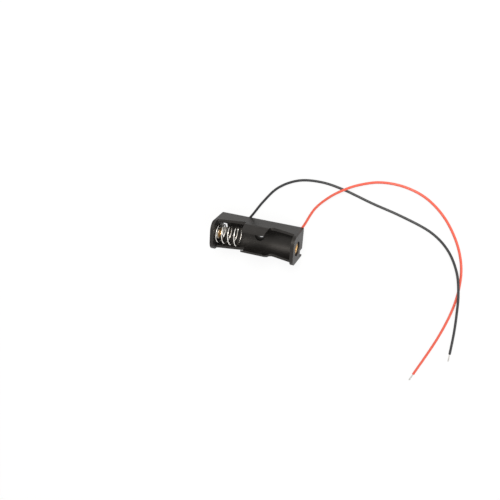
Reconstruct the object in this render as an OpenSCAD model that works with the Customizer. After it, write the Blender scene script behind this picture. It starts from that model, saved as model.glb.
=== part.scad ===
// Holder for one cylindrical cell: a moulded trough with end walls, a coil spring, riveted
// eyelet contacts and two soldered leads. Millimetres. X runs along the cell, from the negative
// end to the positive one, and Z points out of the open side. The origin is on the surface that
// the holder rests on, under the screw hole.

/* [Cell] */
// Diameter of the cell
cell_d = 10.3; // [9.8:0.1:10.8]
// Length of the cell
cell_l = 28.5; // [27.5:0.5:30]

/* [Housing] */
// Clearance between the cell and the trough
cell_clear = 0.1; // [0.05:0.05:0.3]
// Length left inside for the contacts and the pressed spring
contact_room = 3.7; // [3.6:0.1:5]
// Thickness of each side wall where it is thinnest
side_wall = 1.0; // [0.8:0.1:1.6]
// Thickness of each end wall
end_wall = 1.4; // [1.2:0.1:1.8]
// Thickness of the floor under the middle of the trough
floor_t = 2.0; // [1.6:0.1:2.4]
// Height of the end walls
end_h = 12.6; // [12:0.1:14]
// Radius of the end walls' corners on the open side
end_corner_r = 3.8; // [2.5:0.1:4.5]
// Radius of the upright outside edges
edge_r = 0.4; // [0.2:0.1:0.6]

/* [Side walls] */
// Height of the side walls where they meet the end walls
wall_end_h = 8.0; // [7.5:0.1:8.5]
// Height of the side walls beside the tab, on the spring's side
wall_step_h = 5.4; // [5:0.1:6]
// Height of the side walls in the dip beyond the tab
wall_dip_h = 5.4; // [5:0.1:6]
// Height of the snap tabs, which curl over the cell
tab_h = 10.8; // [10:0.1:11]
// Thickness of the snap tabs where they curl over the cell
tab_t = 0.6; // [0.5:0.05:0.7]
// Height where the outsides of the snap tabs start to lean in
tab_root_h = 7.4; // [6.8:0.1:7.8]
// Radius of that bend
tab_bend_r = 1.5; // [0.5:0.1:2]
// Distance from the negative end's outside to the tabs' square edge
tab_start = 12.6; // [11.5:0.1:13]
// Length of the tabs' level top
tab_l = 9.5; // [8.5:0.1:10.5]
// Length of the slope from the tabs down to the dip
tab_slope_l = 1.2; // [1:0.1:2]
// Radius of the tabs' sloped shoulder
tab_shoulder_r = 1.2; // [0.5:0.1:1.5]
// Radius of the dip's bottom
dip_r = 1.6; // [0.8:0.1:2]
// Radius where the side walls run into the end walls
wall_fillet_r = 1.2; // [0.6:0.1:1.4]

/* [Screw hole] */
// Diameter of the screw hole
screw_hole_d = 2.6; // [2.4:0.1:3.2]
// Diameter of the seat for the screw's head
screw_seat_d = 4.3; // [3.8:0.1:5]
// Depth of the screw's seat below the trough
screw_seat_depth = 0.6; // [0.3:0.1:0.8]

/* [Solder pockets] */
// Thickness left between a pocket and the holder's end
pocket_skin = 0.9; // [0.7:0.1:1.1]
// Length of each pocket, along the cell
pocket_l = 2.5; // [2.3:0.1:3]
// Depth of each pocket from the back
pocket_depth = 2.8; // [2.4:0.1:3]
// Distance from the middle of the holder to each pocket's closed end
pocket_reach = 2.8; // [2.2:0.1:3.2]
// Width of the notch through each end wall's back edge
notch_w = 2.7; // [2:0.1:3]
// Thickness left between the notch and the holder's side
notch_margin = 0.9; // [0.6:0.1:1.5]

/* [Eyelets] */
// Outside diameter of the eyelet's barrel
barrel_d = 3.0; // [2.6:0.1:3.4]
// Bore of the eyelet
barrel_bore = 2.2; // [1.8:0.1:2.4]
// Clearance round the barrel
barrel_clear = 0.1; // [0.05:0.05:0.2]
// Diameter of the head inside the holder
head_d = 4.3; // [4:0.1:4.8]
// Thickness of the head
head_t = 0.3; // [0.2:0.05:0.4]
// Diameter of the star that the outer end is rolled into
star_d = 5.2; // [4.8:0.1:5.6]
// Thickness of the star's petals
star_t = 0.25; // [0.2:0.05:0.35]
// Number of petals
star_count = 6; // [5:1:8]
// Width of the slits between the petals
star_slit = 0.35; // [0.2:0.05:0.5]
// Diameter of the recess round the star
recess_d = 6.0; // [5.8:0.1:6.4]
// Depth of the recess
recess_depth = 0.7; // [0.5:0.05:0.8]

/* [Solder tags] */
// Thickness of the tag's sheet
tag_t = 0.3; // [0.2:0.05:0.4]
// Diameter of the tag's ring
tag_ring_d = 5.0; // [4.8:0.1:5.4]
// Width of the tag's leg
tag_leg_w = 2.4; // [2:0.1:2.8]
// Distance from the middle of the holder to the middle of the leg
tag_leg_offset = 0.7; // [0.5:0.1:0.9]
// Length of the foot, measured along the end wall
tag_foot_l = 6.2; // [5.6:0.1:6.4]
// Width of the foot, measured along the cell
tag_foot_w = 1.8; // [1.5:0.1:1.8]
// Height of the foot's underside above the back
tag_foot_h = 1.1; // [1:0.05:1.3]

/* [Spring] */
// Diameter of the spring's wire
wire_d = 0.45; // [0.4:0.05:0.5]
// Diameter of the coil, at the middle of the wire
coil_d = 7.4; // [6.8:0.1:7.8]
// Pitch of the free coil
coil_pitch = 2.65; // [2.4:0.05:2.8]
// Number of free turns
coil_turns = 3; // [2:0.5:4]
// Pitch of the closed turn at the free end
end_pitch = 0.55; // [0.5:0.05:0.6]
// Length of the closed turn, in turns
end_turns = 0.75; // [0.5:0.25:1]

/* [Leads] */
// Outside diameter of each lead
lead_d = 1.0; // [0.9:0.1:1.2]
// Length of the stripped strands at the far ends
strip_l = 3.6; // [2:0.2:5]
// Diameter of the bundle of strands
strand_d = 0.5; // [0.4:0.05:0.6]
// Diameter of the solder bead on each tag
bead_d = 1.5; // [1.2:0.1:1.6]

/* [Hidden] */

eps = 0.01;
round_fn = 96;
small_fn = 48;
arc_steps = 8;
curl_steps = 32;
lead_sides = 8;
wire_sides = 8;
wire_steps = 20;
route_steps = 2;

// The holder lies on its own leads, so its back is one lead's thickness above the surface.
back_z = lead_d;
trough_r = cell_d / 2 + cell_clear;
trough_z = back_z + floor_t + trough_r;
body_l = cell_l + contact_room + 2 * end_wall;
body_w = 2 * (trough_r + side_wall);
inside_x = body_l / 2 - end_wall;
tab_x = -body_l / 2 + tab_start;
slope_x = tab_x + tab_l;
slope_end_x = slope_x + tab_slope_l;
pocket_x = body_l / 2 - pocket_skin - pocket_l;
tag_x = inside_x - tag_t;

// The spring's wire lies between the tag and the negative eyelet's head.
clamp_x = -tag_x + wire_d / 2;
clamp_r = barrel_d / 2 + wire_d / 2 + eps;

// The feet of the solder tags, and the place of the bead on each.
foot_z = back_z + tag_foot_h;
foot_y = tag_leg_w / 2 - tag_leg_offset;
solder_x = inside_x - tag_foot_w / 2;
solder_y = foot_y - tag_foot_l + bead_d / 2;
lead_start_y = solder_y + bead_d * 0.6;

// Routes of the leads, as [x, y, lift]: the lift is the height over the surface, counted in lead
// diameters. Each starts at its bead, runs under the back to the edge of the holder and then over
// the surface. The first tail_spans spans are the stretch that carries the holder.
tail_spans = 5;
black_route = [
    [-solder_x, lead_start_y, 0.8], [0.2 - solder_x, lead_start_y + 1.4, 0.3],
    [0.8 - solder_x, lead_start_y + 2.8, 0], [-12, 1, 0], [-8.4, 3, 0], [-5.3, 6.2, 0],
    [-0.4, 13.8, 0], [5.4, 20.8, 0], [13.4, 25.2, 0], [22.4, 26.2, 0], [31.4, 24.8, 0],
    [43, 21.4, 0], [54.6, 18.4, 0], [66, 14.4, 0], [73.4, 8.8, 0.4], [78.2, 1, 1.1],
    [80.4, -7.8, 1.2], [81.2, -17, 0.8], [81.5, -26, 0.1], [81.4, -35.2, 0]
];
red_route = [
    [solder_x, lead_start_y, 0.8], [solder_x, lead_start_y + 1.4, 0.3],
    [solder_x - 0.4, lead_start_y + 2.7, 0], [13.5, 0.9, 0], [14.4, 3.8, 0], [16.8, 6.2, 0],
    [20.8, 14.6, 0], [26, 20.6, 0.6], [31.6, 25, 1.2], [37.4, 28, 0.6], [45, 30.2, 0],
    [53.6, 30.2, 0], [62, 27.6, 0], [69.2, 22.2, 0], [74.8, 14.8, 0], [78.6, 6.4, 0],
    [80.2, -2.8, 0], [79.4, -15, 0], [75.6, -29.8, 0], [68.8, -48.2, 0]
];

function unit(v) = v / norm(v);

// One rounded corner of an outline: b is the corner, a and c are its neighbours.
function corner_arc(a, b, c, r) =
    let (u = unit(a - b),
         w = unit(c - b),
         half = acos(u * w) / 2,
         centre = b + unit(u + w) * r / sin(half),
         first = b + u * r / tan(half) - centre,
         last = b + w * r / tan(half) - centre,
         from = atan2(first.y, first.x),
         turn = (atan2(last.y, last.x) - from + 540) % 360 - 180)
    [for (i = [0:arc_steps]) centre + r * [cos(from + turn * i / arc_steps), sin(from + turn * i / arc_steps)]];

// An outline whose points are [x, y, corner radius]. A radius of 0 leaves the corner sharp.
function rounded(points) =
    let (n = len(points), flat = [for (p = points) [p.x, p.y]])
    [for (i = [0:n - 1])
        each points[i].z == 0
            ? [flat[i]]
            : corner_arc(flat[(i + n - 1) % n], flat[i], flat[(i + 1) % n], points[i].z)];

// A point between b and c on the smooth curve through a, b, c and d.
function between(a, b, c, d, t) =
    0.5 * (2 * b + (c - a) * t + (2 * a - 5 * b + 4 * c - d) * t * t
           + (3 * b - a - 3 * c + d) * t * t * t);

// A route smoothed into route_steps pieces for each of its spans, as the line through the middle
// of a lead that never sinks below the surface.
function smooth(route) =
    let (n = len(route) - 1)
    [for (i = [0:n]) for (j = [0:i < n ? route_steps - 1 : 0])
        let (p = between(route[max(i - 1, 0)], route[i], route[min(i + 1, n)],
                         route[min(i + 2, n)], j / route_steps))
        [p.x, p.y, lead_d * (max(p.z, 0) + 0.5)]];

function tangent(path, i) = unit(path[min(i + 1, len(path) - 1)] - path[max(i - 1, 0)]);

// A round bar swept along a path, with a flat side up and a flat side down. The rings first to
// last are built, and each takes its direction from the whole path.
module swept(path, d, sides, first, last, up = [0, 0, 1]) {
    ring_r = d / 2 / cos(180 / sides);
    rings = [for (i = [first:last])
        let (ahead = tangent(path, i), across = unit(cross(up, ahead)), over = cross(ahead, across))
        for (k = [0:sides - 1])
            let (a = (k + 0.5) * 360 / sides)
            path[i] + ring_r * (across * cos(a) + over * sin(a))];
    count = last - first;
    skin = [for (i = [0:count - 1]) for (k = [0:sides - 1])
        let (p = i * sides + k, q = i * sides + (k + 1) % sides)
        each [[p, p + sides, q], [q, p + sides, q + sides]]];
    polyhedron(
        points = rings,
        faces = concat(skin, [[for (k = [0:sides - 1]) k],
                              [for (k = [sides - 1:-1:0]) count * sides + k]]),
        convexity = 8);
}

// Puts its children at an end of the holder: side is -1 for the negative end, 1 for the positive
// one. The children are drawn for the positive end.
module at_end(side) {
    if (side > 0) children();
    else mirror([1, 0, 0]) children();
}

// Turns a profile drawn in the YZ plane to run along X.
module along_x(from, to) {
    translate([from, 0, 0]) rotate([90, 0, 90]) linear_extrude(to - from) children();
}

// A rod along X, from one X to another, centred on the trough's axis.
module axis_rod(d, from, to, fn = small_fn) {
    translate([from, 0, trough_z]) rotate([0, 90, 0]) cylinder(d = d, h = to - from, $fn = fn);
}

/* Housing */

function end_outline() = rounded([
    [-body_w / 2, 0, 0], [body_w / 2, 0, 0],
    [body_w / 2, end_h, end_corner_r], [-body_w / 2, end_h, end_corner_r]]);

function side_outline() =
    let (x0 = -body_l / 2)
    rounded([
        [x0, 0, 0], [-x0, 0, 0], [-x0, end_h, 0], [inside_x, end_h, 0],
        [inside_x, wall_end_h, wall_fillet_r],
        [slope_end_x, wall_dip_h, dip_r],
        [slope_x, tab_h, tab_shoulder_r],
        [tab_x, tab_h, 0],
        [tab_x, wall_step_h, wall_fillet_r / 2],
        [-inside_x, wall_end_h, wall_fillet_r],
        [-inside_x, end_h, 0], [x0, end_h, 0]]);

// The section of the snap tabs: above the bend they follow the trough's own round.
function tab_outline() =
    let (r = trough_r + tab_t,
         axis_h = trough_z - back_z,
         root = [body_w / 2, tab_root_h - axis_h],
         lean = atan2(root.y, root.x) + acos(min(1, r / norm(root))))
    rounded(concat(
        [[-root.x, 0, 0], [root.x, 0, 0], [root.x, tab_root_h, tab_bend_r]],
        [for (i = [0:curl_steps])
            let (a = lean + (180 - 2 * lean) * i / curl_steps)
            [r * cos(a), axis_h + r * sin(a), 0]],
        [[-root.x, tab_root_h, tab_bend_r]]));

module plan_outline() {
    inner = [body_l - 2 * edge_r, body_w - 2 * edge_r];
    square([body_l, inner.y], center = true);
    square([inner.x, body_w], center = true);
    for (x = [-1, 1], y = [-1, 1])
        translate([x * inner.x / 2, y * inner.y / 2]) circle(edge_r, $fn = small_fn);
}

module wall_section() {
    translate([-body_w / 2, 0]) square([body_w, wall_end_h]);
}

module housing_block() {
    translate([0, 0, back_z]) {
        for (side = [-1, 1]) at_end(side) {
            along_x(inside_x, body_l / 2) polygon(end_outline());
            along_x(inside_x / 2, inside_x + eps) wall_section();
        }
        along_x(-inside_x - eps, inside_x + eps) polygon(tab_outline());
    }
}

module solder_pocket() {
    translate([pocket_x, -body_w / 2 - 1, back_z - 1])
        cube([pocket_l, body_w / 2 + 1 + pocket_reach, pocket_depth + 1]);
    translate([pocket_x + eps, -body_w / 2 + notch_margin, back_z - 1])
        cube([body_l, notch_w, pocket_depth + 1]);
}

module eyelet_seat() {
    axis_rod(barrel_d + 2 * barrel_clear, inside_x - 1, body_l / 2 + 1);
    axis_rod(recess_d, body_l / 2 - recess_depth, body_l / 2 + 1);
}

module screw_hole() {
    translate([0, 0, back_z - 1]) cylinder(d = screw_hole_d, h = floor_t + 2, $fn = small_fn);
    translate([0, 0, back_z + floor_t - screw_seat_depth])
        cylinder(d = screw_seat_d, h = screw_seat_depth + 1, $fn = small_fn);
}

module housing() {
    color([0.09, 0.085, 0.08])
    difference() {
        intersection() {
            housing_block();
            translate([0, body_w / 2 + 1, back_z]) rotate([90, 0, 0])
                linear_extrude(body_w + 2) polygon(side_outline());
            linear_extrude(back_z + end_h + 1) plan_outline();
        }
        axis_rod(2 * trough_r, -inside_x, inside_x, round_fn);
        screw_hole();
        for (side = [-1, 1]) at_end(side) {
            solder_pocket();
            eyelet_seat();
        }
    }
}

/* Contacts */

// The eyelet's head is seated at head_x, on whatever it clamps against the end wall.
module eyelet(head_x) {
    star_x = body_l / 2 - recess_depth;
    petal_root_x = star_x + star_t;
    difference() {
        union() {
            axis_rod(head_d, head_x - head_t, head_x);
            axis_rod(barrel_d, head_x - eps, petal_root_x);
            axis_rod(star_d, star_x, petal_root_x);
        }
        axis_rod(barrel_bore, head_x - head_t - 1, body_l / 2);
        for (i = [0:star_count - 1])
            translate([star_x, 0, trough_z]) rotate([i * 360 / star_count, 0, 0])
                translate([-eps, -star_slit / 2, barrel_d / 2])
                    cube([star_t + 1, star_slit, star_d]);
    }
}

module negative_eyelet() { color("goldenrod") at_end(-1) eyelet(-clamp_x - wire_d / 2); }

module positive_eyelet() { color("goldenrod") at_end(1) eyelet(tag_x); }

// A ring round the barrel, a leg down the end wall and a foot lying across the pocket.
module solder_tag() {
    difference() {
        union() {
            axis_rod(tag_ring_d, tag_x, inside_x);
            translate([tag_x, foot_y - tag_leg_w, foot_z])
                cube([tag_t, tag_leg_w, trough_z - foot_z]);
            translate([inside_x - tag_foot_w, foot_y - tag_foot_l, foot_z])
                cube([tag_foot_w, tag_foot_l, tag_t]);
        }
        axis_rod(barrel_d + 2 * barrel_clear, tag_x - 1, inside_x + 1);
    }
}

module negative_solder_tag() { color("silver") at_end(-1) solder_tag(); }

module positive_solder_tag() { color("silver") at_end(1) solder_tag(); }

// The wire starts as a ring round the eyelet's barrel, opens out flat to the coil, climbs at the
// coil's pitch and ends in a closed turn.
ring_turns = 0.75;
open_turns = 0.5;
flat_turns = 0.5;
function wire_radius(t) =
    t < ring_turns ? clamp_r
    : t > ring_turns + open_turns ? coil_d / 2
    : clamp_r + (coil_d / 2 - clamp_r) * (1 - cos((t - ring_turns) / open_turns * 180)) / 2;
function wire_x(t) =
    let (climb = t - ring_turns - open_turns - flat_turns)
    clamp_x + coil_pitch * min(max(climb, 0), coil_turns) + end_pitch * max(climb - coil_turns, 0);

module contact_spring() {
    turns = ring_turns + open_turns + flat_turns + coil_turns + end_turns;
    last = round(turns * wire_steps);
    wire = [for (i = [0:last])
        let (t = i / wire_steps, a = 200 + t * 360)
        [wire_x(t), wire_radius(t) * cos(a), trough_z + wire_radius(t) * sin(a)]];
    color("gainsboro") swept(wire, wire_d, wire_sides, 0, last, up = [1, 0, 0]);
}

/* Leads */

// A bead that joins the strands to the foot's underside.
module solder_joint(route) {
    path = smooth(route);
    start = path[0];
    way = tangent(path, 0);
    intersection() {
        union() {
            translate([start.x, solder_y, foot_z - bead_d / 4])
                sphere(d = bead_d, $fn = small_fn);
            translate(start) rotate([0, acos(-way.z), atan2(-way.y, -way.x)])
                cylinder(d = strand_d, h = (start.y - solder_y) / way.y, $fn = small_fn);
        }
        translate([start.x - bead_d, solder_y - bead_d, foot_z - 2 * bead_d])
            cube([2 * bead_d, 3 * bead_d, 2 * bead_d]);
    }
}

module negative_solder_joint() { color("lightgray") solder_joint(black_route); }

module positive_solder_joint() { color("lightgray") solder_joint(red_route); }

module lead(route, first_span, last_span) {
    swept(smooth(route), lead_d, lead_sides, first_span * route_steps, last_span * route_steps);
}

module strands(route) {
    path = smooth(route);
    tip = path[len(path) - 1];
    way = tangent(path, len(path) - 1);
    translate(tip) rotate([0, 0, atan2(way.y, way.x)]) rotate([0, 90, 0])
        cylinder(d = strand_d, h = strip_l, $fn = small_fn);
}

module black_lead_tail() { color([0.12, 0.12, 0.12]) lead(black_route, 0, tail_spans); }

module red_lead_tail() { color([0.9, 0.2, 0.15]) lead(red_route, 0, tail_spans); }

module black_lead() {
    color([0.12, 0.12, 0.12]) lead(black_route, tail_spans, len(black_route) - 1);
}

module red_lead() { color([0.9, 0.2, 0.15]) lead(red_route, tail_spans, len(red_route) - 1); }

module black_lead_strands() { color("silver") strands(black_route); }

module red_lead_strands() { color("silver") strands(red_route); }

housing();
contact_spring();
negative_eyelet();
positive_eyelet();
negative_solder_tag();
positive_solder_tag();
negative_solder_joint();
positive_solder_joint();
black_lead_tail();
red_lead_tail();
black_lead();
red_lead();
black_lead_strands();
red_lead_strands();
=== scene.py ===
import math

import bmesh
import bpy
from mathutils import Matrix, Vector, noise


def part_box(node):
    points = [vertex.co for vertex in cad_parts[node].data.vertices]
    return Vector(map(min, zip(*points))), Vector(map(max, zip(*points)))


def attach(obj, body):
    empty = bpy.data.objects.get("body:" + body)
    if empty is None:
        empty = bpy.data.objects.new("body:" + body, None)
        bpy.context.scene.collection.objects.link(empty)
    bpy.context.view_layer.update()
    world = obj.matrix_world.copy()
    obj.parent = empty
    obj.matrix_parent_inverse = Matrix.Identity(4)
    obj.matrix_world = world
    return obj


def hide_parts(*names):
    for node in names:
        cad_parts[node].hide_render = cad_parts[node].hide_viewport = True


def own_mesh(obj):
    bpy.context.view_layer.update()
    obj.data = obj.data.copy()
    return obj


# Metres. X runs along the cell, from the negative end to the positive one, Y towards the side that
# the leads leave from, and Z out of the open side.

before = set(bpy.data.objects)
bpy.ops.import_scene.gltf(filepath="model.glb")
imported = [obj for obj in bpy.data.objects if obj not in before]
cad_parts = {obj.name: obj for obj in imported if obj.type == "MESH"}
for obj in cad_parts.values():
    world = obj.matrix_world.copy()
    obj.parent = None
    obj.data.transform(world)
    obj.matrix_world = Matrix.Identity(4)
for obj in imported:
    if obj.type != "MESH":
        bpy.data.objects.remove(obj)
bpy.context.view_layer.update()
scene = bpy.context.scene
scene.view_settings.view_transform = "Standard"

MM = 0.001
HOLDER = "holder"

star_low, star_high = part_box("positive_eyelet")
AXIS_Z = (star_low.z + star_high.z) / 2

LEAD_D = 1.0 * MM
STRIP_L = 3.6 * MM
ROUTE_STEPS = 6

# Routes of the leads, as [x, y, lift] in millimetres: the lift is the height over the surface,
# counted in lead diameters.
BLACK_ROUTE = [
    (-15.2, -4.05, 0.8), (-15, -2.65, 0.3), (-14.4, -1.25, 0), (-12, 1, 0), (-8.4, 3, 0),
    (-5.3, 6.2, 0), (-0.4, 13.8, 0), (5.4, 20.8, 0), (13.4, 25.2, 0), (22.4, 26.2, 0),
    (31.4, 24.8, 0), (43, 21.4, 0), (54.6, 18.4, 0), (66, 14.4, 0), (73.4, 8.8, 0.4),
    (78.2, 1, 1.1), (80.4, -7.8, 1.2), (81.2, -17, 0.8), (81.5, -26, 0.1), (81.4, -35.2, 0),
]
RED_ROUTE = [
    (15.2, -4.05, 0.8), (15.2, -2.65, 0.3), (14.8, -1.35, 0), (13.5, 0.9, 0), (14.4, 3.8, 0),
    (16.8, 6.2, 0), (20.8, 14.6, 0), (26, 20.6, 0.6), (31.6, 25, 1.2), (37.4, 28, 0.6),
    (45, 30.2, 0), (53.6, 30.2, 0), (62, 27.6, 0), (69.2, 22.2, 0), (74.8, 14.8, 0),
    (78.6, 6.4, 0), (80.2, -2.8, 0), (79.4, -15, 0), (75.6, -29.8, 0), (68.8, -48.2, 0),
]


# ---------------------------------------------------------------- camera

def make_camera():
    target = Vector((-4.83, -8.70, 0)) * MM
    distance = 330.9 * MM
    azimuth, elevation, roll = (math.radians(a) for a in (54.87, 59.35, -136.94))
    back = Vector((math.cos(azimuth) * math.cos(elevation),
                   math.sin(azimuth) * math.cos(elevation),
                   math.sin(elevation)))
    data = bpy.data.cameras.new("camera")
    data.sensor_width = 36
    data.lens = 57.6
    data.clip_start, data.clip_end = 0.01, 10
    camera = bpy.data.objects.new("camera", data)
    scene.collection.objects.link(camera)
    camera.rotation_mode = "QUATERNION"
    facing = (-back).to_track_quat("-Z", "Y")
    camera.rotation_quaternion = facing @ Matrix.Rotation(roll, 4, "Z").to_quaternion()
    camera.location = target + back * distance
    scene.camera = camera


make_camera()


# ---------------------------------------------------------------- materials

class Socket:
    """A shader socket that plain arithmetic can be written on."""

    def __init__(self, paint, output):
        self.paint = paint
        self.output = output

    def math(self, operation, *others):
        return self.paint.add("ShaderNodeMath", {"operation": operation}, self, *others)

    def __add__(self, other):
        return self.math("ADD", other)

    def __mul__(self, other):
        return self.math("MULTIPLY", other)

    __radd__ = __add__
    __rmul__ = __mul__


class Paint:
    """One material: its nodes are added by name, with their settings and inputs."""

    def __init__(self, name, **shader_inputs):
        self.material = bpy.data.materials.new(name)
        self.material.use_nodes = True
        self.tree = self.material.node_tree
        self.tree.nodes.clear()
        self.output = self.tree.nodes.new("ShaderNodeOutputMaterial")
        self.shader = self.tree.nodes.new("ShaderNodeBsdfPrincipled")
        self.tree.links.new(self.shader.outputs[0], self.output.inputs["Surface"])
        self.set(**shader_inputs)

    def put(self, target, value):
        if isinstance(value, Socket):
            self.tree.links.new(value.output, target)
        elif hasattr(target.default_value, "__len__") and not hasattr(value, "__len__"):
            target.default_value = [value] * len(target.default_value)
        elif hasattr(value, "__len__") and len(value) == 3 and len(target.default_value) == 4:
            target.default_value = (*value, 1)
        else:
            target.default_value = value

    def add(self, kind, settings=None, *values, out=0, **named):
        node = self.tree.nodes.new(kind)
        for key, value in (settings or {}).items():
            setattr(node, key, value)
        for index, value in enumerate(values):
            if value is not None:
                self.put(node.inputs[index], value)
        for name, value in named.items():
            self.put(node.inputs[name.replace("_", " ")], value)
        return Socket(self, node.outputs[out])

    def set(self, **shader_inputs):
        for name, value in shader_inputs.items():
            self.put(self.shader.inputs[name.replace("_", " ")], value)
        return self

    # Patterns, all in object space, so that they keep their size in metres.

    def place(self):
        return self.add("ShaderNodeTexCoord", out=3)

    def noise(self, size, detail=4, roughness=0.55, stretch=(1, 1, 1)):
        spot = self.place()
        if stretch != (1, 1, 1):
            spot = self.add("ShaderNodeMapping", None, spot, Scale=stretch)
        return self.add("ShaderNodeTexNoise", None, Vector=spot, Scale=1 / size, Detail=detail,
                        Roughness=roughness)

    def between(self, value, low, high):
        return self.add("ShaderNodeMapRange", None, value, low, high)

    def blend(self, factor, first, second):
        node = self.tree.nodes.new("ShaderNodeMix")
        node.data_type = "RGBA"
        self.put(node.inputs[0], factor)
        self.put(node.inputs[6], first)
        self.put(node.inputs[7], second)
        return Socket(self, node.outputs[2])

    def bump(self, height, depth, strength=1.0):
        normal = self.add("ShaderNodeBump", None, Strength=strength, Distance=depth,
                          Height=height)
        return self.set(Normal=normal)


def moulded_black():
    """Black moulded plastic: a fine matt grain, a slight sheen and faint flow marks."""
    paint = Paint("moulded_black", Specular_IOR_Level=0.4, Specular_Tint=(1, 0.94, 0.88))
    grain = paint.noise(0.12 * MM, 3)
    flow = paint.noise(6 * MM, 3, stretch=(0.35, 1, 1))
    cloud = paint.noise(1.6 * MM, 4)
    paint.set(Base_Color=paint.blend(paint.between(cloud, 0.35, 0.7),
                                     (0.0075, 0.0068, 0.0063), (0.011, 0.01, 0.0093)),
              Roughness=0.33 + flow * 0.12 + grain * 0.08)
    return paint.bump(grain + cloud * 0.6, 0.010 * MM, 0.5).material


def wire_nickel():
    """Nickel-plated spring wire, bright, with fine drawing marks."""
    paint = Paint("wire_nickel", Metallic=1.0)
    marks = paint.noise(0.25 * MM, 3)
    tarnish = paint.noise(2.2 * MM, 3)
    paint.set(Base_Color=paint.blend(paint.between(tarnish, 0.4, 0.75),
                                     (0.79, 0.77, 0.73), (0.62, 0.58, 0.52)),
              Roughness=0.16 + marks * 0.14)
    return paint.bump(marks, 0.004 * MM, 0.4).material


def plain_brass():
    """Pressed brass, a little dulled where it was rolled over."""
    paint = Paint("plain_brass", Metallic=1.0)
    dull = paint.noise(0.9 * MM, 4)
    marks = paint.noise(0.12 * MM, 3)
    paint.set(Base_Color=paint.blend(paint.between(dull, 0.35, 0.7),
                                     (0.72, 0.47, 0.2), (0.46, 0.27, 0.1)),
              Roughness=0.2 + marks * 0.16 + dull * 0.08)
    return paint.bump(marks, 0.006 * MM, 0.5).material


def tinned_sheet():
    """Tin-plated sheet, with the fine lines of rolling."""
    paint = Paint("tinned_sheet", Metallic=1.0)
    lines = paint.noise(0.3 * MM, 3, stretch=(1, 0.12, 0.12))
    dull = paint.noise(1.8 * MM, 3)
    paint.set(Base_Color=paint.blend(dull, (0.72, 0.71, 0.68), (0.52, 0.5, 0.47)),
              Roughness=0.24 + lines * 0.2)
    return paint.bump(lines, 0.004 * MM, 0.4).material


def bright_solder():
    """Solder that has set bright, with a slightly grainy skin."""
    paint = Paint("bright_solder", Metallic=1.0)
    skin = paint.noise(0.3 * MM, 4)
    paint.set(Base_Color=paint.blend(skin, (0.74, 0.75, 0.76), (0.55, 0.56, 0.58)),
              Roughness=0.18 + skin * 0.2)
    return paint.bump(skin, 0.012 * MM, 0.6).material


def insulation(name, deep, pale, scuff):
    """Extruded lead insulation: satin, with long faint drag lines and light scuffs."""
    paint = Paint(name, Specular_IOR_Level=0.5, Coat_Weight=0.12, Coat_Roughness=0.25)
    cloud = paint.noise(5 * MM, 3)
    fine = paint.noise(0.35 * MM, 3)
    worn = paint.between(paint.noise(2.4 * MM, 5, 0.7), 0.6, 0.72)
    colour = paint.blend(cloud, deep, pale)
    paint.set(Base_Color=paint.blend(worn * 0.35, colour, scuff),
              Roughness=0.34 + fine * 0.16)
    return paint.bump(fine, 0.006 * MM, 0.4).material


def tinned_copper():
    """Fine tinned strands."""
    paint = Paint("tinned_copper", Metallic=1.0)
    dull = paint.noise(0.6 * MM, 3)
    paint.set(Base_Color=paint.blend(dull, (0.8, 0.79, 0.77), (0.6, 0.57, 0.53)),
              Roughness=0.25 + dull * 0.15)
    return paint.material


def white_floor():
    """A pale surface that shows as white where it is lit, and keeps the shadow on it."""
    paint = Paint("white_floor", Base_Color=(0.8, 0.8, 0.8), Roughness=0.9,
                  Specular_IOR_Level=0.1)
    rays = paint.tree.nodes.new("ShaderNodeLightPath")
    seen = Socket(paint, rays.outputs["Is Camera Ray"]).math(
        "MAXIMUM", Socket(paint, rays.outputs["Is Glossy Ray"])).math(
        "MAXIMUM", Socket(paint, rays.outputs["Is Transmission Ray"]))
    glow = paint.add("ShaderNodeEmission", None, Color=(1, 1, 1), Strength=1.06)
    both = paint.add("ShaderNodeMixShader", None, seen * 0.8,
                     Socket(paint, paint.shader.outputs[0]), glow)
    paint.tree.links.new(both.output, paint.output.inputs["Surface"])
    return paint.material


MOULDED_BLACK = moulded_black()
WIRE_NICKEL = wire_nickel()
PLAIN_BRASS = plain_brass()
TINNED_SHEET = tinned_sheet()
BRIGHT_SOLDER = bright_solder()
TINNED_COPPER = tinned_copper()
RED_INSULATION = insulation("red_insulation", (0.78, 0.1, 0.055), (0.86, 0.13, 0.075),
                            (0.9, 0.3, 0.22))
BLACK_INSULATION = insulation("black_insulation", (0.014, 0.014, 0.015),
                              (0.02, 0.02, 0.021), (0.07, 0.07, 0.07))


# ---------------------------------------------------------------- mesh helpers

def add_piece(name, data, material, body=HOLDER, stands_for=()):
    piece = bpy.data.objects.new(name, data)
    scene.collection.objects.link(piece)
    data.materials.append(material)
    if stands_for:
        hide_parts(*stands_for)
    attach(piece, body)
    return piece


def mesh_from(name, points, faces, smooth=True):
    mesh = bpy.data.meshes.new(name)
    mesh.from_pydata([tuple(p) for p in points], [], faces)
    work = bmesh.new()
    work.from_mesh(mesh)
    bmesh.ops.recalc_face_normals(work, faces=work.faces)
    for face in work.faces:
        face.smooth = smooth
    work.to_mesh(mesh)
    work.free()
    return mesh


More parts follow.
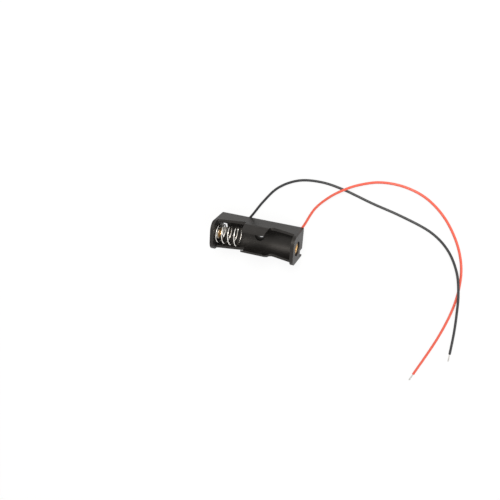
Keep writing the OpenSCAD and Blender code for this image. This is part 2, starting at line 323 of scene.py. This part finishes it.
def tube(line, radius, sides, points, faces, side_dir=None):
    """Adds a round bar along a line of points to the given points and faces."""
    first = len(points)
    count = len(line)
    across = side_dir
    for i, spot in enumerate(line):
        ahead = (line[min(i + 1, count - 1)] - line[max(i - 1, 0)]).normalized()
        if across is None:
            across = ahead.orthogonal()
        across = (across - ahead * across.dot(ahead)).normalized()
        over = ahead.cross(across)
        thick = radius(i / (count - 1)) if callable(radius) else radius
        for k in range(sides):
            turn = 2 * math.pi * k / sides
            points.append(spot + (across * math.cos(turn) + over * math.sin(turn)) * thick)
    for i in range(count - 1):
        for k in range(sides):
            a, b = first + i * sides + k, first + i * sides + (k + 1) % sides
            faces.append((a, b, b + sides, a + sides))
    faces.append(tuple(first + k for k in reversed(range(sides))))
    faces.append(tuple(first + (count - 1) * sides + k for k in range(sides)))


def on_route(a, b, c, d, t):
    """A point between b and c on the smooth curve through a, b, c and d."""
    return 0.5 * (2 * b + (c - a) * t + (2 * a - 5 * b + 4 * c - d) * t ** 2
                  + (3 * b - a - 3 * c + d) * t ** 3)


def smooth_route(route, steps):
    """The line through the middle of a lead, in metres, and never below the surface."""
    spots = [Vector(p) for p in route]
    last = len(spots) - 1
    line = []
    for i in range(last + 1):
        near = [spots[max(i - 1, 0)], spots[i], spots[min(i + 1, last)], spots[min(i + 2, last)]]
        for j in range(steps if i < last else 1):
            spot = on_route(*near, j / steps)
            line.append(Vector((spot.x * MM, spot.y * MM, (max(spot.z, 0) + 0.5) * LEAD_D)))
    return line


# ---------------------------------------------------------------- leads

def lead(name, route, material, stands_for):
    line = smooth_route(route, ROUTE_STEPS)
    curve = bpy.data.curves.new(name, "CURVE")
    curve.dimensions = "3D"
    curve.bevel_depth = LEAD_D / 2
    curve.bevel_resolution = 5
    curve.use_fill_caps = True
    spline = curve.splines.new("POLY")
    spline.points.add(len(line) - 1)
    for point, spot in zip(spline.points, line):
        point.co = (*spot, 1)
    spline.use_smooth = True
    piece = add_piece(name, curve, material, stands_for=stands_for)
    return piece


STRANDS = 7
STRAND_R = 0.075 * MM
STRAND_RING_R = 0.16 * MM
STRAND_TWIST = 1.9


def bare_strands(name, route, stands_for, spread):
    """The stripped end: thin strands, twisted loosely and a little splayed."""
    line = smooth_route(route, ROUTE_STEPS)
    tip = line[-1]
    ahead = (line[-1] - line[-2]).normalized()
    across = ahead.cross(Vector((0, 0, 1))).normalized()
    up = Vector((0, 0, 1))
    points, faces = [], []
    for k in range(STRANDS):
        ring = 0 if k == 0 else STRAND_RING_R
        start = 2 * math.pi * k / (STRANDS - 1)
        reach = STRIP_L * (0.99 - 0.05 * ((k * 3) % 4))
        path = []
        for i in range(13):
            t = i / 12
            turn = start + STRAND_TWIST * t
            fan = 1 + spread * t * t
            side = ring * math.cos(turn) * fan
            rise = max(ring * math.sin(turn) * fan, STRAND_R - LEAD_D / 2 + 0.02 * MM)
            back = -0.3 * MM * (1 - t)
            path.append(tip + ahead * (reach * t + back) + across * side + up * rise)
        tube(path, STRAND_R, 8, points, faces)
    return add_piece(name, mesh_from(name, points, faces), TINNED_COPPER,
                     stands_for=stands_for)


def make_leads():
    black_ends = bare_strands("black_lead_ends", BLACK_ROUTE, ("black_lead_strands",), 0.5)
    red_ends = bare_strands("red_lead_ends", RED_ROUTE, ("red_lead_strands",), 0.9)
    lead("black_insulated_lead", BLACK_ROUTE, BLACK_INSULATION,
         ("black_lead_tail", "black_lead"))
    lead("red_insulated_lead", RED_ROUTE, RED_INSULATION,
         ("red_lead_tail", "red_lead"))


make_leads()


# ---------------------------------------------------------------- spring

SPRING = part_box("contact_spring")
WIRE_D = 0.45 * MM
COIL_R = (SPRING[1].y - SPRING[0].y) / 2 - WIRE_D / 2
RING_R = 1.735 * MM
RING_TURNS, OPEN_TURNS, FLAT_TURNS, COIL_TURNS, END_TURNS = 0.75, 0.5, 0.5, 3, 0.75
COIL_PITCH, END_PITCH = 2.65 * MM, 0.55 * MM
SPRING_START = 200


def spring_wire():
    """The wire: a ring round the eyelet's barrel, a flat turn, the coil and a closed turn."""
    turns = RING_TURNS + OPEN_TURNS + FLAT_TURNS + COIL_TURNS + END_TURNS
    steps = 44
    line = []
    for i in range(round(turns * steps) + 1):
        t = i / steps
        opened = min(max((t - RING_TURNS) / OPEN_TURNS, 0), 1)
        radius = RING_R + (COIL_R - RING_R) * (1 - math.cos(opened * math.pi)) / 2
        climb = t - RING_TURNS - OPEN_TURNS - FLAT_TURNS
        along = COIL_PITCH * min(max(climb, 0), COIL_TURNS) + END_PITCH * max(climb - COIL_TURNS, 0)
        turn = math.radians(SPRING_START) + 2 * math.pi * t
        line.append(Vector((SPRING[0].x + WIRE_D / 2 + along,
                            radius * math.cos(turn), AXIS_Z + radius * math.sin(turn))))
    points, faces = [], []
    tube(line, WIRE_D / 2, 14, points, faces, Vector((1, 0, 0)))
    piece = add_piece("contact_spring_wire", mesh_from("contact_spring_wire", points, faces),
                      WIRE_NICKEL, stands_for=("contact_spring",))
    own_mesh(piece)


spring_wire()


# ---------------------------------------------------------------- carried-over solids

def finish_node(node, material):
    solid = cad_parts[node]
    solid.data.materials.clear()
    solid.data.materials.append(material)


for node, material in {
    "negative_solder_tag": TINNED_SHEET,
    "positive_solder_tag": TINNED_SHEET,
    "negative_solder_joint": BRIGHT_SOLDER,
    "positive_solder_joint": BRIGHT_SOLDER,
}.items():
    finish_node(node, material)


# ---------------------------------------------------------------- housing

EDGE_R = 0.11 * MM
SHARPEST_PLAIN_TURN = math.radians(38)


def moulding():
    """The housing with the small radius that a mould leaves on every edge."""
    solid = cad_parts["housing"]
    work = bmesh.new()
    work.from_mesh(solid.data)
    work.transform(solid.matrix_world)
    bmesh.ops.remove_doubles(work, verts=work.verts, dist=0.002 * MM)
    bmesh.ops.dissolve_limit(work, angle_limit=math.radians(1), verts=work.verts,
                             edges=work.edges)
    for face in work.faces:
        face.smooth = True
    mesh = bpy.data.meshes.new("moulded_trough")
    work.to_mesh(mesh)
    work.free()
    piece = add_piece("moulded_trough", mesh, MOULDED_BLACK,
                      stands_for=("housing",))
    soft = piece.modifiers.new("edges", "BEVEL")
    soft.width = EDGE_R
    soft.segments = 2
    soft.limit_method = "ANGLE"
    soft.angle_limit = SHARPEST_PLAIN_TURN
    soft.harden_normals = True
    piece.modifiers.new("normals", "WEIGHTED_NORMAL").keep_sharp = True


moulding()


# ---------------------------------------------------------------- eyelets

BORE_R, BARREL_R, HEAD_R = 1.1 * MM, 1.5 * MM, 2.15 * MM
HEAD_SHEET = 0.3 * MM
PETAL_SHEET = 0.24 * MM
PETALS = 6
PETAL_SPREAD = math.radians(50)


def turned(profile, centre_x, side, steps, points, faces):
    """Adds a ring turned about the trough's axis from [x, radius] pairs that close up."""
    first, count = len(points), len(profile)
    for k in range(steps):
        turn = 2 * math.pi * k / steps
        for x, radius in profile:
            points.append(Vector((side * (centre_x + x), radius * math.cos(turn),
                                  AXIS_Z + radius * math.sin(turn))))
    for k in range(steps):
        for j in range(count):
            a, b = first + k * count + j, first + k * count + (j + 1) % count
            c, d = (first + (k + 1) % steps * count + (j + 1) % count,
                    first + (k + 1) % steps * count + j)
            faces.append((a, b, c, d))


def petal(angle, spread, root_x, side, barrel, reach, thick, points, faces):
    """Adds one petal: it rises out of the barrel, rolls over and comes down on the wall."""
    first, rows, across = len(points), 9, 6
    for skin in (0, 1):
        for i in range(rows):
            t = i / (rows - 1)
            radius = barrel + (reach - barrel) * t
            lift = root_x + thick * (0.25 + 0.75 * math.sin(math.pi * min(t * 1.15, 1)))
            narrow = spread * (1 - 0.45 * max(t - 0.45, 0) / 0.55)
            for j in range(across):
                turn = angle + narrow * (j / (across - 1) - 0.5)
                edge = 1 - 0.12 * t * abs(2 * j / (across - 1) - 1) ** 2
                points.append(Vector((side * (lift - skin * thick * 0.7),
                                      radius * edge * math.cos(turn),
                                      AXIS_Z + radius * edge * math.sin(turn))))
    size = rows * across
    for i in range(rows - 1):
        for j in range(across - 1):
            a = first + i * across + j
            faces.append((a, a + 1, a + across + 1, a + across))
            faces.append((a + size, a + size + across, a + size + across + 1, a + size + 1))
    rim = ([j for j in range(across)] + [i * across + across - 1 for i in range(1, rows)]
           + [(rows - 1) * across + j for j in range(across - 2, -1, -1)]
           + [i * across for i in range(rows - 2, 0, -1)])
    for a, b in zip(rim, rim[1:] + rim[:1]):
        faces.append((first + a, first + b, first + b + size, first + a + size))


def eyelet(node, side):
    low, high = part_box(node)
    outer = max(abs(low.x), abs(high.x))
    inner = min(abs(low.x), abs(high.x))
    star_r = (high.y - low.y) / 2
    points, faces = [], []
    rim = outer - inner - 0.03 * MM
    rim_start = outer - inner - 0.12 * MM
    rolled = [(0.05 * MM, BORE_R), (0, BORE_R + 0.08 * MM), (0, HEAD_R - 0.12 * MM),
              (0.06 * MM, HEAD_R), (0.2 * MM, HEAD_R), (HEAD_SHEET, HEAD_R - 0.08 * MM),
              (HEAD_SHEET, BARREL_R), (rim_start, BARREL_R), (rim, BARREL_R - 0.12 * MM),
              (rim, BORE_R + 0.1 * MM), (rim_start, BORE_R)]
    turned(rolled, inner, side, 60, points, faces)
    for k in range(PETALS):
        angle = math.radians(30 + 360 / PETALS * k + 5 * noise.noise(Vector((k * 1.7, side, 0))))
        reach = star_r * (0.985 - 0.04 * abs(noise.noise(Vector((k * 2.3, side, 4)))))
        petal(angle, PETAL_SPREAD, outer - 0.25 * MM, side, BARREL_R - 0.1 * MM, reach,
              PETAL_SHEET, points, faces)
    add_piece(node + "_pressed", mesh_from(node + "_pressed", points, faces), PLAIN_BRASS,
              stands_for=(node,))


eyelet("negative_eyelet", -1)
eyelet("positive_eyelet", 1)


# ---------------------------------------------------------------- floor and light

def make_floor():
    size = 3.0
    corners = [(-size, -size, 0), (size, -size, 0), (size, size, 0), (-size, size, 0)]
    mesh = mesh_from("floor", corners, [(0, 1, 2, 3)], smooth=False)
    mesh.materials.append(white_floor())
    floor = bpy.data.objects.new("floor", mesh)
    scene.collection.objects.link(floor)


def area_lamp(name, place, size, power, colour=(1, 1, 1)):
    data = bpy.data.lights.new(name, "AREA")
    data.shape = "DISK"
    data.size = size
    data.energy = power
    data.color = colour
    lamp = bpy.data.objects.new(name, data)
    lamp.location = place
    lamp.rotation_mode = "QUATERNION"
    lamp.rotation_quaternion = (-Vector(place)).to_track_quat("-Z", "Y")
    scene.collection.objects.link(lamp)


def make_light():
    world = bpy.data.worlds.new("studio")
    world.use_nodes = True
    tree = world.node_tree
    background = tree.nodes["Background"]
    background.inputs["Color"].default_value = (1, 1, 1, 1)
    rays = tree.nodes.new("ShaderNodeLightPath")
    seen = tree.nodes.new("ShaderNodeMath")
    seen.operation = "MAXIMUM"
    tree.links.new(rays.outputs["Is Camera Ray"], seen.inputs[0])
    tree.links.new(rays.outputs["Is Transmission Ray"], seen.inputs[1])
    shone = tree.nodes.new("ShaderNodeMath")
    shone.operation = "MAXIMUM"
    tree.links.new(seen.outputs[0], shone.inputs[0])
    tree.links.new(rays.outputs["Is Glossy Ray"], shone.inputs[1])
    level = tree.nodes.new("ShaderNodeMapRange")
    level.inputs["To Min"].default_value = 0.55
    level.inputs["To Max"].default_value = 1.0
    tree.links.new(shone.outputs[0], level.inputs["Value"])
    tree.links.new(level.outputs[0], background.inputs["Strength"])
    scene.world = world
    area_lamp("key", (0.15, 0.75, 0.85), 0.7, 9.0, (1.0, 0.98, 0.95))
    area_lamp("fill", (0.9, -0.3, 0.7), 0.6, 2.5)


make_floor()
make_light()
